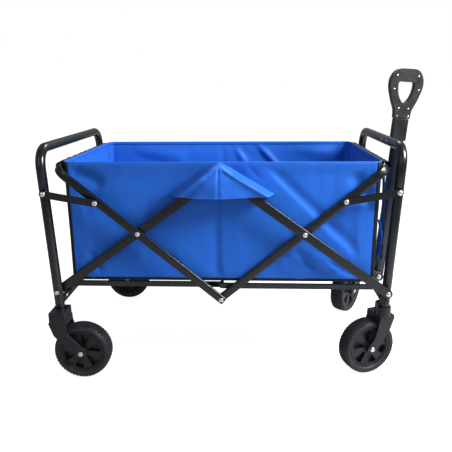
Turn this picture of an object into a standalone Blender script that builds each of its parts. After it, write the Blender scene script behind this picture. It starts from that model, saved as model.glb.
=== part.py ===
"""Folding wagon with a pull handle, at rest: opened out, handle up, casters turned as they happened to stop.

X runs from the rear to the pull handle, Y away from the side facing the viewer, Z up. Metres.
Drawn about the middle of the wheelbase, then moved by PLACE so that the origin is under the
middle of the whole length and the wheels stand on the ground. Each moving piece has its origin on the axis that it turns about.
"""

from math import atan2, cos, hypot, pi, radians, sin

import bmesh
import bpy
from mathutils import Matrix, Vector

# ------------------------------------------------------------------ driving sizes
PLACE = Vector((-0.04473, 0.0, 0.0085))

# the linkage seen from the side, as (x, z) of the rear half; the front half mirrors it
LOW_PIVOT = (-0.4258, 0.2246)    # cross bar on the leg
CROSSING = (-0.2102, 0.3804)     # cross bar over loop
BOTTOM_PIVOT = (0.0, 0.2046)     # rear loop on front loop
TOP_PIVOT = (0.0, 0.5323)        # rear cross bar on front cross bar
LOOP_END_X = -0.408              # crossbar of the loop
LINK_ARM = 0.12865               # from the crossing to the link's end, along the loop
LEG_LEAN = 0.042                 # outward run per metre of height
LINK_Z = 0.4859                  # link's pivot on the leg
BOW_TOP = 0.5945
LEG_FOOT = 0.171
TUBE_R = 0.0122

# half-widths: the front bow stands inside the rear one, so that they nest when folded
REAR_Y = 0.2597
FRONT_Y = 0.2348
INNER = (0.2360, 0.2470)
OUTER = (0.2475, 0.2585)
BAR_WIDTH = 0.0225

FLOOR_PIVOT = (-0.400, 0.2330)
FLOOR_BAR_H = 0.014
REAR_FLOOR_Y = (0.2146, 0.2226)
FRONT_FLOOR_Y = (0.2231, 0.2311)
CROSSBAR_Z = 0.194
CROSSBAR_R = 0.0095

WHEEL_R = 0.0745
AXLE_Z = WHEEL_R - PLACE.z
WHEEL_W = 0.046
RIM_R = 0.0565
REAR_WHEEL = (-0.3670, 0.2700)   # x, half-track
CASTER = (0.4235, 0.2085)        # swivel axis x, |y|
TRAIL = 0.041
CASTER_YAW = {"near": radians(22), "far": radians(55)}
CROWN_Z = (0.1425, 0.1572)
SOCKET_Z = (0.1577, 0.1830)

HANDLE_HINGE = Vector((0.4590, 0.0, 0.1830))
HANDLE_LEAN = radians(4.1)

BAG_X, BAG_Y, BAG_Z, BAG_WALL = 0.3895, 0.232, (0.252, 0.560), 0.003
MAT_Z = (0.2558, 0.2658)
FLAP = [(-0.132, 0.468), (-0.118, 0.482), (-0.060, 0.531), (-0.016, 0.5595), (0.044, 0.5595),
        (0.066, 0.541), (0.106, 0.503), (0.135, 0.473), (0.060, 0.467), (-0.060, 0.466)]

PIN_R = 0.0040
HOLE_R = 0.0044
SIDES = (("near", -1), ("far", 1))

for old in list(bpy.data.objects):
    bpy.data.objects.remove(old, do_unlink=True)

WAGON = bpy.data.collections.new("wagon_with_pull_handle")
HELPERS = bpy.data.collections.new("wagon_cutters")
HELPERS.hide_render = True
for collection in (WAGON, HELPERS):
    bpy.context.scene.collection.children.link(collection)


# ------------------------------------------------------------------ materials
def material(name, colour, roughness, metallic=0.0):
    made = bpy.data.materials.new(name)
    made.use_nodes = True
    shader = made.node_tree.nodes["Principled BSDF"]
    shader.inputs["Base Color"].default_value = (*colour, 1.0)
    shader.inputs["Roughness"].default_value = roughness
    shader.inputs["Metallic"].default_value = metallic
    return made


LOOKS = {
    "black_paint": ((0.012, 0.012, 0.013), 0.35, 0.0),
    "black_plastic": ((0.014, 0.014, 0.015), 0.50, 0.0),
    "tyre_rubber": ((0.030, 0.031, 0.033), 0.80, 0.0),
    "zinc": ((0.62, 0.63, 0.65), 0.32, 1.0),
    "blue_fabric": ((0.010, 0.075, 0.560), 0.75, 0.0),
}


# ------------------------------------------------------------------ building blocks
def place(name, data, look, pivot=(0, 0, 0), matrix=None):
    """A node of the wagon, with its own material and its origin at the pivot."""
    made = bpy.data.objects.new(name, data)
    made.matrix_world = Matrix.Translation(Vector(pivot) + PLACE) @ (matrix or Matrix())
    WAGON.objects.link(made)
    data.materials.append(material(name, *LOOKS[look]))
    data.shade_smooth()
    data.set_sharp_from_angle(angle=radians(35))
    return made


def helper(name, data, pivot=(0, 0, 0), matrix=None):
    """A shape that another one is cut by or joined with."""
    made = bpy.data.objects.new(name, data)
    made.matrix_world = Matrix.Translation(Vector(pivot) + PLACE) @ (matrix or Matrix())
    HELPERS.objects.link(made)
    made.hide_render = True
    made.display_type = "WIRE"
    return made


def combine(target, operation, other):
    step = target.modifiers.new(other.name, "BOOLEAN")
    step.operation, step.solver, step.object = operation, "EXACT", other


def mesh_of_curve(curve):
    """The closed mesh that a curve makes, in the curve's own coordinates."""
    source = bpy.data.objects.new(curve.name, curve)
    HELPERS.objects.link(source)
    graph = bpy.context.evaluated_depsgraph_get()
    graph.update()
    mesh = bpy.data.meshes.new_from_object(source.evaluated_get(graph))
    bpy.data.objects.remove(source)
    bpy.data.curves.remove(curve)
    shape = bmesh.new()
    shape.from_mesh(mesh)
    bmesh.ops.remove_doubles(shape, verts=shape.verts, dist=0.00002)
    bmesh.ops.recalc_face_normals(shape, faces=shape.faces)
    shape.to_mesh(mesh)
    shape.free()
    return mesh


def poly_spline(curve, points, cyclic):
    spline = curve.splines.new("POLY")
    spline.points.add(len(points) - 1)
    for item, point in zip(spline.points, points):
        item.co = (*point, *([0] * (3 - len(point))), 1)
    spline.use_cyclic_u = cyclic


def plate_mesh(name, loops, thickness):
    """A flat plate with the first loop as its outline and the rest as holes, thickness along local Z."""
    curve = bpy.data.curves.new(name, "CURVE")
    curve.dimensions, curve.fill_mode, curve.extrude = "2D", "BOTH", thickness / 2
    for loop in loops:
        poly_spline(curve, loop, True)
    return mesh_of_curve(curve)


def tube_mesh(name, points, radius, sides=12):
    curve = bpy.data.curves.new(name, "CURVE")
    curve.dimensions, curve.bevel_depth, curve.use_fill_caps = "3D", radius, True
    curve.bevel_resolution = (sides - 4) // 2
    poly_spline(curve, points, False)
    return mesh_of_curve(curve)


def filleted(points, radius, steps=6):
    """The path with each inner corner rounded to this radius."""
    points = [Vector(p) for p in points]
    path = [points[0]]
    for before, corner, after in zip(points, points[1:], points[2:]):
        back, ahead = (before - corner).normalized(), (after - corner).normalized()
        half = back.angle(ahead) / 2
        reach = radius * cos(half) / sin(half)
        centre = corner + (back + ahead).normalized() * (radius / sin(half))
        first, last = corner + back * reach - centre, corner + ahead * reach - centre
        turn = first.angle(last)
        for n in range(steps + 1):
            part = n / steps
            path.append(centre + (first * sin((1 - part) * turn) + last * sin(part * turn)) / sin(turn))
    return path + [points[-1]]


def circle(centre, radius, steps=12):
    return [(centre[0] + radius * cos(2 * pi * n / steps), centre[1] + radius * sin(2 * pi * n / steps))
            for n in range(steps)]


def stadium(first, last, radius, steps=6):
    """Outline of a bar with round ends, from one centre to the other."""
    angle = atan2(last[1] - first[1], last[0] - first[0])
    turns = [angle - pi / 2 + pi * n / steps for n in range(steps + 1)]
    return ([(last[0] + radius * cos(t), last[1] + radius * sin(t)) for t in turns]
            + [(first[0] - radius * cos(t), first[1] - radius * sin(t)) for t in turns])


def on_side(sign):
    """Turns a plate or a turned piece so that its local Z points out of the wagon on this side."""
    return Matrix.Rotation(pi / 2, 4, "X") if sign < 0 else Matrix.Rotation(-pi / 2, 4, "X")


def side_loops(loops, pivot, sign):
    """Loops given in the wagon's (x, z), as local loops about the pivot for a plate on this side."""
    return [[(x - pivot[0], (z - pivot[1]) * -sign) for x, z in loop] for loop in loops]


def side_plate(name, loops, band, sign, pivot, look=None):
    """A plate in the wagon's XZ plane between two half-widths: a node if it has a look, else a helper."""
    mesh = plate_mesh(name, side_loops(loops, pivot, sign), band[1] - band[0])
    mesh.transform(Matrix.Translation((0, 0, (band[0] + band[1]) / 2)))
    at = ((pivot[0], 0, pivot[1]), on_side(sign))
    return place(name, mesh, look, *at) if look else helper(name, mesh, *at)


def turned(name, profile, steps, pivot, matrix, look=None):
    """A Screw about local Z. The profile runs down its outer side, top to bottom; on a ring it is closed."""
    ring = profile[0][0] > 1e-9
    mesh = bpy.data.meshes.new(name)
    edges = [(n, n + 1) for n in range(len(profile) - 1)] + ([(len(profile) - 1, 0)] if ring else [])
    mesh.from_pydata([(r, 0, z) for r, z in profile], edges, [])
    made = place(name, mesh, look, pivot, matrix) if look else helper(name, mesh, pivot, matrix)
    screw = made.modifiers.new("turned", "SCREW")
    screw.steps = screw.render_steps = steps
    screw.use_merge_vertices, screw.merge_threshold = True, 0.0001
    screw.use_smooth_shade = True
    return made


def rod_profile(radius, low, high):
    return [(0, high), (radius, high), (radius, low), (0, low)]


def cut_across(target, holes, reach=0.32):
    """Round holes through the target along Y, each (x, z, radius)."""
    for n, (x, z, radius) in enumerate(holes):
        drill = turned(f"{target.name}_drill_{n}", rod_profile(radius, -reach, reach), 12, (x, 0, z), on_side(-1))
        combine(target, "DIFFERENCE", drill)


def box_mesh(name, low, high):
    mesh = bpy.data.meshes.new(name)
    shape = bmesh.new()
    bmesh.ops.create_cube(shape, size=1)
    for vert in shape.verts:
        vert.co = [lo + (c + 0.5) * (hi - lo) for c, lo, hi in zip(vert.co, low, high)]
    shape.to_mesh(mesh)
    shape.free()
    return mesh


def mirrored(point):
    return (-point[0], point[1])


def toward(start, end, distance):
    """The point this far from start on the line to end."""
    whole = hypot(end[0] - start[0], end[1] - start[1])
    return tuple(s + (e - s) * distance / whole for s, e in zip(start, end))


def leg_x(z):
    return -(abs(LOW_PIVOT[0]) + LEG_LEAN * (z - LOW_PIVOT[1]))


LOOP_END = (LOOP_END_X, CROSSING[1] + (CROSSING[1] - BOTTOM_PIVOT[1]) * (LOOP_END_X / CROSSING[0] - 1))
LINK_PIVOT = (leg_x(LINK_Z), LINK_Z)
LINK_END = toward(CROSSING, LOOP_END, LINK_ARM)
ENDS = (("rear", REAR_Y, lambda p: p), ("front", FRONT_Y, mirrored))


# ------------------------------------------------------------------ end frames
def bow(end, half_y, flip):
    foot, top = flip((leg_x(LEG_FOOT), LEG_FOOT)), flip((leg_x(BOW_TOP), BOW_TOP))
    corners = [(foot[0], -half_y, foot[1]), (top[0], -half_y, top[1]),
               (top[0], half_y, top[1]), (foot[0], half_y, foot[1])]
    made = place(f"{end}_bow", tube_mesh(f"{end}_bow", filleted(corners, 0.045), TUBE_R), "black_paint")
    cut_across(made, [(*flip(p), HOLE_R) for p in (LOW_PIVOT, LINK_PIVOT)])


def lower_crossbar(end, half_y, flip, floor_band):
    """The tube between the legs, with a lug and a pin for each floor bar."""
    centre = flip((leg_x(CROSSBAR_Z), CROSSBAR_Z))
    reach = half_y - TUBE_R - 0.0003
    name = f"{end}_lower_crossbar"
    made = place(name, tube_mesh(name, [(0, -reach, 0), (0, reach, 0)], CROSSBAR_R),
                 "black_paint", (centre[0], 0, centre[1]))
    lug_band = (floor_band[0] - 0.0080, floor_band[0] - 0.0012)
    for side, sign in SIDES:
        lug = side_plate(f"{name}_lug_{side}", [stadium(centre, flip(FLOOR_PIVOT), 0.0085)],
                         lug_band, sign, flip(FLOOR_PIVOT))
        pin = turned(f"{name}_pin_{side}", rod_profile(PIN_R, lug_band[0] + 0.002, floor_band[1] + 0.0003),
                     12, (flip(FLOOR_PIVOT)[0], 0, FLOOR_PIVOT[1]), on_side(sign))
        combine(made, "UNION", lug)
        combine(made, "UNION", pin)


for end, half_y, flip in ENDS:
    bow(end, half_y, flip)
    lower_crossbar(end, half_y, flip, REAR_FLOOR_Y if end == "rear" else FRONT_FLOOR_Y)


# ------------------------------------------------------------------ cross bars, loops and links
def cross_bars(end, band, flip, top_hole):
    low, top, crossing = flip(LOW_PIVOT), flip(TOP_PIVOT), flip(CROSSING)
    for side, sign in SIDES:
        loops = [stadium(low, top, BAR_WIDTH / 2), circle(low, HOLE_R), circle(crossing, HOLE_R),
                 circle(top, top_hole)]
        side_plate(f"{end}_cross_bar_{side}", loops, band, sign, low, "black_paint")


def loop(end, band, flip, origin):
    """One flat-oval tube: two arms from the bottom pivot and the crossbar between their upper ends."""
    bottom, far_end = flip(BOTTOM_PIVOT), flip(LOOP_END)
    length = hypot(far_end[0] - bottom[0], far_end[1] - bottom[1])
    half_y, half_t = (band[0] + band[1]) / 2, (band[1] - band[0]) / 2
    corners = [(-0.0090, -half_y, 0), (length, -half_y, 0), (length, half_y, 0), (-0.0090, half_y, 0)]
    section = bpy.data.curves.new("section", "CURVE")
    section.dimensions = "2D"
    flat = BAR_WIDTH / 2 - half_t
    round_end = [(half_t * cos(a), flat + half_t * sin(a)) for a in [pi * n / 4 for n in range(5)]]
    poly_spline(section, round_end + [(-x, -y) for x, y in round_end], True)
    shape = bpy.data.objects.new("section", section)
    HELPERS.objects.link(shape)
    curve = bpy.data.curves.new(f"{end}_loop", "CURVE")
    curve.dimensions, curve.bevel_mode, curve.bevel_object, curve.use_fill_caps = "2D", "OBJECT", shape, True
    poly_spline(curve, [p[:2] for p in filleted(corners, 0.032, 5)], False)
    mesh = mesh_of_curve(curve)
    bpy.data.objects.remove(shape)
    along = Vector((far_end[0] - bottom[0], 0, far_end[1] - bottom[1])).normalized()
    frame = Matrix.Identity(4)
    for column, axis in enumerate((along, Vector((0, 1, 0)), along.cross(Vector((0, 1, 0))))):
        frame.col[column][:3] = axis
    mesh.transform(Matrix.Translation((bottom[0] - origin[0], 0, bottom[1] - origin[1])) @ frame)
    made = place(f"{end}_loop", mesh, "black_paint", (origin[0], 0, origin[1]))
    cut_across(made, [(*bottom, HOLE_R), (*flip(CROSSING), HOLE_R)])


def link(end, flip, plate_band, reach, boss):
    """The short bar from the leg to the loop: its pin runs through the leg, and its other end rides on the loop."""
    pivot, tip = flip(LINK_PIVOT), flip(LINK_END)
    for side, sign in SIDES:
        name = f"{end}_link_{side}"
        made = side_plate(name, [stadium(pivot, tip, 0.0090)], plate_band, sign, pivot, "black_paint")
        middle = sum(plate_band) / 2
        top = plate_band[1] + 0.0026
        pin = [(0, top), (0.0040, top - 0.0004), (0.0062, top - 0.0020), (0.0062, middle), (PIN_R, middle),
               (PIN_R, reach), (0, reach)]
        stud = [(0, top), (0.0040, top - 0.0004), (0.0062, top - 0.0020), (0.0062, middle)]
        stud += [(0.0070, middle), (0.0070, boss), (0, boss)] if boss else [(0, middle)]
        for label, profile, at in (("pin", pin, pivot), ("stud", stud, tip)):
            combine(made, "UNION", turned(f"{name}_{label}", profile, 12, (at[0], 0, at[1]), on_side(sign)))


cross_bars("rear", INNER, lambda p: p, HOLE_R)
cross_bars("front", OUTER, mirrored, 0.0072)
loop("rear", OUTER, lambda p: p, CROSSING)
loop("front", INNER, mirrored, BOTTOM_PIVOT)
link("rear", lambda p: p, (REAR_Y + TUBE_R + 0.0007, REAR_Y + TUBE_R + 0.0037), REAR_Y - TUBE_R - 0.0002, 0.2590)
link("front", mirrored, (0.2476, 0.2506), FRONT_Y - TUBE_R - 0.0002, None)


# ------------------------------------------------------------------ rivets
def rivet(name, at, sign, inner, seat, head_r=0.0062):
    """A shank from the inner face to the seat, and a low dome outside it."""
    top = seat + 0.0028
    profile = [(0, top), (head_r * 0.62, top - 0.0004), (head_r, top - 0.0021), (head_r, seat),
               (PIN_R, seat), (PIN_R, inner), (0, inner)]
    turned(name, profile, 12, (at[0], 0, at[1]), on_side(sign), "zinc")


for side, sign in SIDES:
    for end, half_y, flip in ENDS:
        rivet(f"{end}_crossing_rivet_{side}", flip(CROSSING), sign, INNER[0] + 0.0002, OUTER[1] + 0.0003)
        inner, seat = ((INNER[0] + 0.0002, REAR_Y + TUBE_R + 0.0002) if end == "rear"
                       else (FRONT_Y - TUBE_R - 0.0002, OUTER[1] + 0.0003))
        rivet(f"{end}_low_rivet_{side}", flip(LOW_PIVOT), sign, inner, seat)
    rivet(f"bottom_rivet_{side}", BOTTOM_PIVOT, sign, INNER[0] + 0.0002, OUTER[1] + 0.0003)
    rivet(f"top_rivet_{side}", TOP_PIVOT, sign, INNER[0] + 0.0002, OUTER[1] + 0.0003, 0.0088)


# ------------------------------------------------------------------ floor
for side, sign in SIDES:
    for end, band, flip in (("rear", REAR_FLOOR_Y, lambda p: p), ("front", FRONT_FLOOR_Y, mirrored)):
        pivot, middle = flip(FLOOR_PIVOT), (0.0, FLOOR_PIVOT[1])
        loops = [stadium(pivot, middle, FLOOR_BAR_H / 2), circle(pivot, HOLE_R)]
        if end == "rear":
            loops.append(circle(middle, 0.0048))
        side_plate(f"{end}_floor_bar_{side}", loops, band, sign, pivot, "black_paint")
rod_reach = REAR_FLOOR_Y[1] - 0.0001
place("floor_hinge_rod", tube_mesh("floor_hinge_rod", [(0, -rod_reach, 0), (0, rod_reach, 0)], 0.0045),
      "black_paint", (0, 0, FLOOR_PIVOT[1]))

mat = place("floor_mat", box_mesh("floor_mat", (-0.380, -0.218, MAT_Z[0]), (0.380, 0.218, MAT_Z[1])), "blue_fabric")


# ------------------------------------------------------------------ fabric tub
tub = place("fabric_tub", box_mesh("fabric_tub", (-BAG_X, -BAG_Y, BAG_Z[0]), (BAG_X, BAG_Y, BAG_Z[1])), "blue_fabric")
inside = helper("tub_inside", box_mesh("tub_inside", (-BAG_X + BAG_WALL, -BAG_Y + BAG_WALL, BAG_Z[0] + BAG_WALL),
                                       (BAG_X - BAG_WALL, BAG_Y - BAG_WALL, BAG_Z[1] + 0.05)))
combine(tub, "DIFFERENCE", inside)
for side, sign in SIDES:
    flap = side_plate(f"flap_{side}", [FLAP], (0.2636, 0.2664), sign, (0, 0))
    ledge = side_plate(f"ledge_{side}", [[(-0.014, 0.5570), (0.042, 0.5570), (0.042, 0.5592), (-0.014, 0.5592)]],
                       (BAG_Y - 0.001, 0.2650), sign, (0, 0))
    combine(tub, "UNION", ledge)
    combine(tub, "UNION", flap)


# ------------------------------------------------------------------ wheels and forks
def wheel(name, centre, spin):
    """Tyre and rim about the wheel's centre; spin turns local Z onto the axle."""
    half = WHEEL_W / 2
    outer, flange = WHEEL_R, RIM_R + 0.0003
    tyre = [(flange, half - 0.004), (outer - 0.010, half), (outer - 0.003, half - 0.004), (outer, half - 0.012),
            (outer, -half + 0.012), (outer - 0.003, -half + 0.004), (outer - 0.010, -half), (flange, -half + 0.004)]
    turned(f"{name}_tyre", tyre, 32, centre, spin, "tyre_rubber")
    face, ring, hub = 0.0150, half - 0.0045, half - 0.0006
    rim = [(0.0045, hub), (0.0125, hub), (0.0135, face), (0.0515, face), (0.0525, ring), (RIM_R, ring)]
    rim += [(r, -z) for r, z in reversed(rim)]
    made = turned(f"{name}_rim", rim, 24, centre, spin, "black_plastic")
    wedge = [(0.0170, 0.14), (0.0480, 0.0), (0.0490, 0.14), (0.0492, 0.28), (0.0490, 0.42), (0.0480, 0.56), (0.0170, 0.42)]
    wedges = [[(r * cos(a + n * pi / 3), r * sin(a + n * pi / 3)) for r, a in wedge] for n in range(6)]
    for facing in (-1, 1):
        pockets = plate_mesh(f"{name}_pockets", wedges, 0.020)
        pockets.transform(Matrix.Translation((0, 0, facing * 0.0155)))
        combine(made, "DIFFERENCE", helper(f"{name}_pockets", pockets, centre, spin))


def fork_outline(offset):
    """Side outline: the crown over the leg, and the arm down to the axle, this far ahead of the leg."""
    axle = [(offset + 0.0140 * cos(a), AXLE_Z + 0.0140 * sin(a)) for a in
            [radians(d) for d in (200, 230, 260, 290, 320, 350, 380)]]
    return [(-0.0185, CROWN_Z[1]), (-0.0215, 0.1500), (-0.0100, 0.1160), *axle,
            (offset - 0.004, 0.092), (0.0280, 0.120), (0.0235, 0.1400), (0.0225, CROWN_Z[1])]


def fork(name, offset, origin, frame, look="black_plastic"):
    """Crown and two arms. Local X runs from the leg to the wheel, local Y along the axle."""
    upright = Matrix.Rotation(pi / 2, 4, "X")
    body = plate_mesh(name, [fork_outline(offset), circle((offset, AXLE_Z), HOLE_R)], 0.0610)
    body.transform(upright)
    made = place(name, body, look, origin, frame)
    slot = helper(f"{name}_slot", box_mesh(f"{name}_slot", (-0.10, -0.0245, -0.02), (0.16, 0.0245, CROWN_Z[0])),
                  origin, frame)
    combine(made, "DIFFERENCE", slot)
    return made


def axle_bolt(name, centre, frame):
    profile = [(0, 0.0345), (0.0040, 0.0341), (0.0066, 0.0325), (0.0066, 0.0310), (PIN_R, 0.0310),
               (PIN_R, -0.0310), (0.0070, -0.0310), (0.0070, -0.0345), (0, -0.0345)]
    turned(name, profile, 12, centre, frame @ on_side(-1), "zinc")


def axle_side(sign):
    """Puts the bolt's domed head outside on either side."""
    return Matrix.Identity(4) if sign < 0 else Matrix.Rotation(pi, 4, "Z")


for side, sign in SIDES:
    wheel_x, track = REAR_WHEEL
    foot_x = leg_x(LEG_FOOT)
    centre = (wheel_x, sign * track, AXLE_Z)
    made = fork(f"rear_fork_{side}", wheel_x - foot_x, (foot_x, sign * track, 0), Matrix.Identity(4))
    low_y, high_y = sorted((sign * (REAR_Y - 0.0190), sign * (track + 0.0305)))
    socket = helper(f"rear_socket_{side}", box_mesh(f"rear_socket_{side}", (foot_x - 0.0185, low_y, CROWN_Z[1] - 0.004),
                                                    (foot_x + 0.0215, high_y, 0.1800)))
    leg_hole = turned(f"rear_leg_hole_{side}", rod_profile(TUBE_R + 0.0012, LEG_FOOT - 0.0008, 0.20), 16,
                      (foot_x, sign * REAR_Y, 0), Matrix.Identity(4))
    combine(made, "UNION", socket)
    combine(made, "DIFFERENCE", leg_hole)
    wheel(f"rear_{side}", centre, on_side(-1))
    axle_bolt(f"rear_axle_bolt_{side}", centre, axle_side(sign))

    swivel = Vector((CASTER[0], sign * CASTER[1], 0))
    cup_loop = stadium((0, 0), (0, sign * (FRONT_Y - CASTER[1])), 0.0175, 8)
    cup_mesh = plate_mesh(f"caster_cup_{side}", [cup_loop], SOCKET_Z[1] - SOCKET_Z[0])
    cup_mesh.transform(Matrix.Translation((0, 0, sum(SOCKET_Z) / 2)))
    cup = place(f"caster_cup_{side}", cup_mesh, "black_plastic", swivel)
    for label, radius, at_y, low, high in (("leg", TUBE_R + 0.0012, FRONT_Y, LEG_FOOT - 0.0008, 0.20),
                                           ("swivel", 0.0065, CASTER[1], 0.15, 0.1755)):
        combine(cup, "DIFFERENCE", turned(f"cup_{label}_{side}", rod_profile(radius, low, high), 16,
                                          (CASTER[0], sign * at_y, 0), Matrix.Identity(4)))
    turn = Matrix.Rotation(CASTER_YAW[side], 4, "Z") @ Matrix.Rotation(pi, 4, "Z")
    made = fork(f"caster_fork_{side}", TRAIL, swivel, turn)
    stem = turned(f"caster_stem_{side}", rod_profile(0.0060, CROWN_Z[1] - 0.004, 0.1745), 12, swivel,
                  Matrix.Identity(4))
    combine(made, "UNION", stem)
    hub = swivel + turn @ Vector((TRAIL, 0, 0)) + Vector((0, 0, AXLE_Z))
    wheel(f"front_{side}", hub, turn @ on_side(-1))
    axle_bolt(f"front_axle_bolt_{side}", hub, turn @ axle_side(-sign))


# ------------------------------------------------------------------ pull handle
LEAN = Matrix.Rotation(HANDLE_LEAN, 4, "Y")
OUTER_TUBE = (0.0145, 0.0100)    # half-sizes across
INNER_TUBE = (0.0117, 0.0072)
BORE = (0.0121, 0.0076)
TUBE_TOP, COLLAR_TOP = 0.4450, 0.4652
GRIP_LOW, GRIP_TOP = 0.4660, 0.5985


def along_handle(name, low, high):
    """A box in the handle's own frame: across, along Y, up the handle from the hinge."""
    return helper(name, box_mesh(name, low, high), HANDLE_HINGE, LEAN)


def upright_plate(name, loops, thickness, y, look=None):
    """A plate face-on along Y, in the handle's own frame."""
    mesh = plate_mesh(name, loops, thickness)
    mesh.transform(Matrix.Translation((0, y, 0)) @ Matrix.Rotation(pi / 2, 4, "X"))
    return place(name, mesh, look, HANDLE_HINGE, LEAN) if look else helper(name, mesh, HANDLE_HINGE, LEAN)


# bracket: two ears on the crossbar, joined by a web behind the tube
crossbar_at = (-leg_x(CROSSBAR_Z) - HANDLE_HINGE.x, CROSSBAR_Z - HANDLE_HINGE.z)
bracket_mesh = plate_mesh("handle_bracket", [stadium(crossbar_at, (0, 0), 0.0140), circle((0, 0), 0.0046),
                                             circle(crossbar_at, CROSSBAR_R + 0.0006, 16)], 0.0420)
bracket_mesh.transform(Matrix.Rotation(pi / 2, 4, "X"))
bracket = place("handle_bracket", bracket_mesh, "black_paint", HANDLE_HINGE)
combine(bracket, "DIFFERENCE", helper("bracket_slot", box_mesh("bracket_slot", (-0.0185, -0.0165, -0.04),
                                                               (0.04, 0.0165, 0.04)), HANDLE_HINGE))
turned("handle_pivot_pin", [(0, 0.0245), (0.0045, 0.0241), (0.0070, 0.0228), (0.0070, 0.0213), (PIN_R, 0.0213),
                            (PIN_R, -0.0213), (0.0070, -0.0213), (0.0070, -0.0240), (0, -0.0240)],
       12, HANDLE_HINGE, on_side(-1), "zinc")

foot = [(-OUTER_TUBE[0] * cos(a), -OUTER_TUBE[0] * sin(a)) for a in [pi * n / 8 for n in range(9)]]
outer = upright_plate("handle_outer_tube", [[*foot, (OUTER_TUBE[0], TUBE_TOP), (-OUTER_TUBE[0], TUBE_TOP)],
                                            circle((0, 0), HOLE_R)], OUTER_TUBE[1] * 2, 0, "black_paint")
combine(outer, "DIFFERENCE", along_handle("outer_bore", (-BORE[0], -BORE[1], 0.030), (BORE[0], BORE[1], 0.60)))

collar = place("handle_collar", box_mesh("handle_collar", (-0.0190, -0.0145, 0.4050), (0.0190, 0.0145, COLLAR_TOP)),
               "black_plastic", HANDLE_HINGE, LEAN)
combine(collar, "DIFFERENCE", along_handle("collar_seat", (-0.0149, -0.0104, 0.39), (0.0149, 0.0104, TUBE_TOP + 0.0004)))
combine(collar, "DIFFERENCE", along_handle("collar_bore", (-BORE[0], -BORE[1], 0.40), (BORE[0], BORE[1], 0.60)))

place("handle_inner_tube", box_mesh("handle_inner_tube", (-INNER_TUBE[0], -INNER_TUBE[1], 0.075),
                                    (INNER_TUBE[0], INNER_TUBE[1], 0.4880)), "black_paint", HANDLE_HINGE, LEAN)

GRIP_OUTLINE = [(0.0207, GRIP_LOW), (0.0212, 0.4760), (0.0228, 0.4885), (0.0268, 0.4990),
                (0.0310, 0.5083), (0.0345, 0.5180), (0.0376, 0.5280), (0.0408, 0.5380), (0.0430, 0.5477),
                (0.0439, 0.5570), (0.0437, 0.5650), (0.0425, 0.5722), (0.0402, 0.5788), (0.0372, 0.5850),
                (0.0332, 0.5905), (0.0285, 0.5948), (0.0230, 0.5974), (0.0160, GRIP_TOP)]
GRIP_OUTLINE += [(-x, u) for x, u in reversed(GRIP_OUTLINE)]
GRIP_HOLE = [(0.0, 0.5068), (0.0060, 0.5085), (0.0105, 0.5139), (0.0150, 0.5215), (0.0180, 0.5290),
             (0.0205, 0.5372), (0.0221, 0.5468), (0.0227, 0.5558), (0.0220, 0.5616), (0.0190, 0.5641)]
GRIP_HOLE += [(-x, u) for x, u in reversed(GRIP_HOLE[1:])]
tube_pocket = along_handle("grip_tube_pocket", (-INNER_TUBE[0] - 0.0003, -INNER_TUBE[1] - 0.0003, 0.45),
                           (INNER_TUBE[0] + 0.0003, INNER_TUBE[1] + 0.0003, 0.4884))
button_pocket = along_handle("grip_button_pocket", (-0.0073, -0.0058, 0.4900), (0.0073, 0.0058, 0.5150))
for label, y in (("near", -0.0076), ("far", 0.0076)):
    shell = upright_plate(f"grip_shell_{label}", [GRIP_OUTLINE, GRIP_HOLE], 0.0147, y, "black_plastic")
    combine(shell, "DIFFERENCE", tube_pocket)
    combine(shell, "DIFFERENCE", button_pocket)
place("grip_button", box_mesh("grip_button", (-0.0070, -0.0055, 0.4945), (0.0070, 0.0055, 0.5080)),
      "black_plastic", HANDLE_HINGE, LEAN)
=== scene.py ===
# %% [markdown]
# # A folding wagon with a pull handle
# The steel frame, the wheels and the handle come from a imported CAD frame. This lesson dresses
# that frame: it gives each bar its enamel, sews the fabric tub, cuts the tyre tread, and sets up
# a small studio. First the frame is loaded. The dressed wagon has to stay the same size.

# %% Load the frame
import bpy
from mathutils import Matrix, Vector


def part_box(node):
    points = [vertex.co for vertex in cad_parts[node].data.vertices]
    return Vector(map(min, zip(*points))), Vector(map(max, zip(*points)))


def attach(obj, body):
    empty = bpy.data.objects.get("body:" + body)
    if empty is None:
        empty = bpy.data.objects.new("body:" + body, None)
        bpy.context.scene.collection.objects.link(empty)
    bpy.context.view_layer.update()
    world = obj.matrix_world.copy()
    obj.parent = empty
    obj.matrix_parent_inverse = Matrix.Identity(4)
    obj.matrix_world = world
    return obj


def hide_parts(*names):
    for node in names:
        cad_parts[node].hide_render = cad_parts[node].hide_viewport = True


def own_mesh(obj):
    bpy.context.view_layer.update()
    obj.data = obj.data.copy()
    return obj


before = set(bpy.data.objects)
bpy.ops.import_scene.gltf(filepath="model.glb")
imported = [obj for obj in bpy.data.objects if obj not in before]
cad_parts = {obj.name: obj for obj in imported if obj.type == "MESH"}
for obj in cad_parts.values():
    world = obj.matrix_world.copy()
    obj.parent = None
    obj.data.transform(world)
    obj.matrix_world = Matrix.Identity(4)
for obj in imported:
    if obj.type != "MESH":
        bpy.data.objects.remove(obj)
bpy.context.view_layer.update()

# %% The tools of the lesson
import math

import bmesh
import bpy
import numpy as np
from mathutils import Matrix, Vector, noise

# %% [markdown]
# ## Camera
# The camera stands in front of the wagon at about chest height and looks down on it by 15
# degrees. Its rotation is built from three directions (right, up, back), which is easier to
# check by eye than Euler angles. A lens of 42 mm on a 36 mm sensor keeps the wheels round.

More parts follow.
